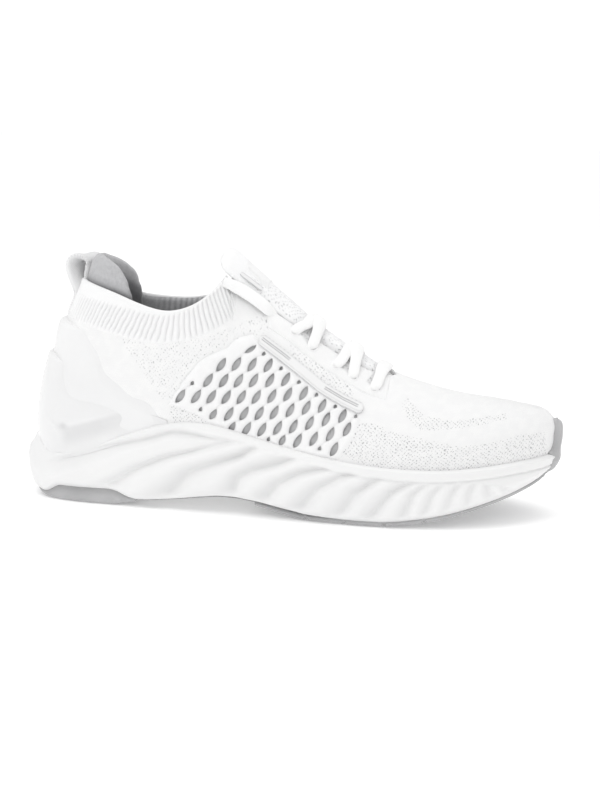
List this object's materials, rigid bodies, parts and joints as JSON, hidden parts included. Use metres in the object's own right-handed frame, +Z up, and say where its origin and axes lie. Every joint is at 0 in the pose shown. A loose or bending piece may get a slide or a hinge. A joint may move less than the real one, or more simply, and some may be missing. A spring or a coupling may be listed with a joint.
{
  "type": "running shoe",
  "caption": "Low-cut knit running shoe for the right foot, with a laced instep, ribbed collar, heel pull loop, foam midsole and rubber outsole; its forefoot bends.",
  "frame": {"origin": "on the ground, at the centre of the heel tread's contact patch", "axes": "+X towards the toe, +Y towards the inner (medial) side of the foot, +Z up"},
  "size_m": [0.297, 0.1066, 0.1396],
  "materials": {
    "midsole_foam": "moulded EVA foam, matt",
    "outsole_rubber": "moulded rubber, satin",
    "knit": "fine jacquard knit",
    "open_mesh": "open engineered mesh",
    "tongue_mesh": "perforated padded mesh",
    "lining": "brushed lining textile",
    "tpu_film": "smooth satin film",
    "stiffener": "thermoplastic sheet",
    "board": "non-woven board",
    "sockliner": "foam sheet with a textile top",
    "eyestay": "fused reinforcement",
    "lace": "flat woven lace",
    "webbing": "woven webbing",
    "label": "blank stitched patch"
  },
  "bodies": {
    "rearfoot": {"midsole_rear": "midsole_foam", "outsole_heel": "outsole_rubber", "outsole_ball": "outsole_rubber", "strobel_board_rear": "board", "sockliner_rear": "sockliner", "knit_upper_rear": "knit", "rib_collar": "knit", "heel_counter_film": "tpu_film", "heel_clip": "tpu_film", "heel_stiffener": "stiffener", "heel_tab_pad": "lining", "collar_lining_lateral": "lining", "collar_lining_medial": "lining", "mesh_panel_lateral": "open_mesh", "mesh_panel_medial": "open_mesh", "panel_lining_lateral": "lining", "panel_lining_medial": "lining", "trim_strip_lateral": "tpu_film", "trim_strip_medial": "tpu_film", "eyestay_lateral": "eyestay", "eyestay_medial": "eyestay", "tongue_base": "tongue_mesh", "lace_row_1": "lace", "lace_row_2": "lace", "lace_row_3": "lace", "lace_row_4": "lace", "lace_row_5": "lace", "lace_tail_lateral": "lace", "lace_tail_medial": "lace", "pull_loop_foot": "webbing"},
    "forefoot": {"midsole_forefoot": "midsole_foam", "outsole_toe": "outsole_rubber", "toe_guard": "outsole_rubber", "strobel_board_forefoot": "board", "sockliner_forefoot": "sockliner", "knit_vamp_forefoot": "knit", "toe_puff": "stiffener"},
    "tongue": {"tongue_tip": "tongue_mesh", "tongue_label": "label"},
    "pull_loop": {"pull_loop": "webbing"}
  },
  "joints": [
    {"name": "forefoot_flex", "type": "hinge", "parent": "rearfoot", "child": "forefoot", "pos_m": [0.158, 0, 0.025], "axis": [0, -1, 0], "range_deg": [0, 28]},
    {"name": "tongue_swing", "type": "hinge", "parent": "rearfoot", "child": "tongue", "pos_m": [0.105, 0, 0.107], "axis": [0, 1, 0], "range_deg": [-4, 28]},
    {"name": "pull_loop_fold", "type": "hinge", "parent": "rearfoot", "child": "pull_loop", "pos_m": [-0.0238, 0, 0.1115], "axis": [0, -1, 0], "range_deg": [-4, 30]}
  ]
}
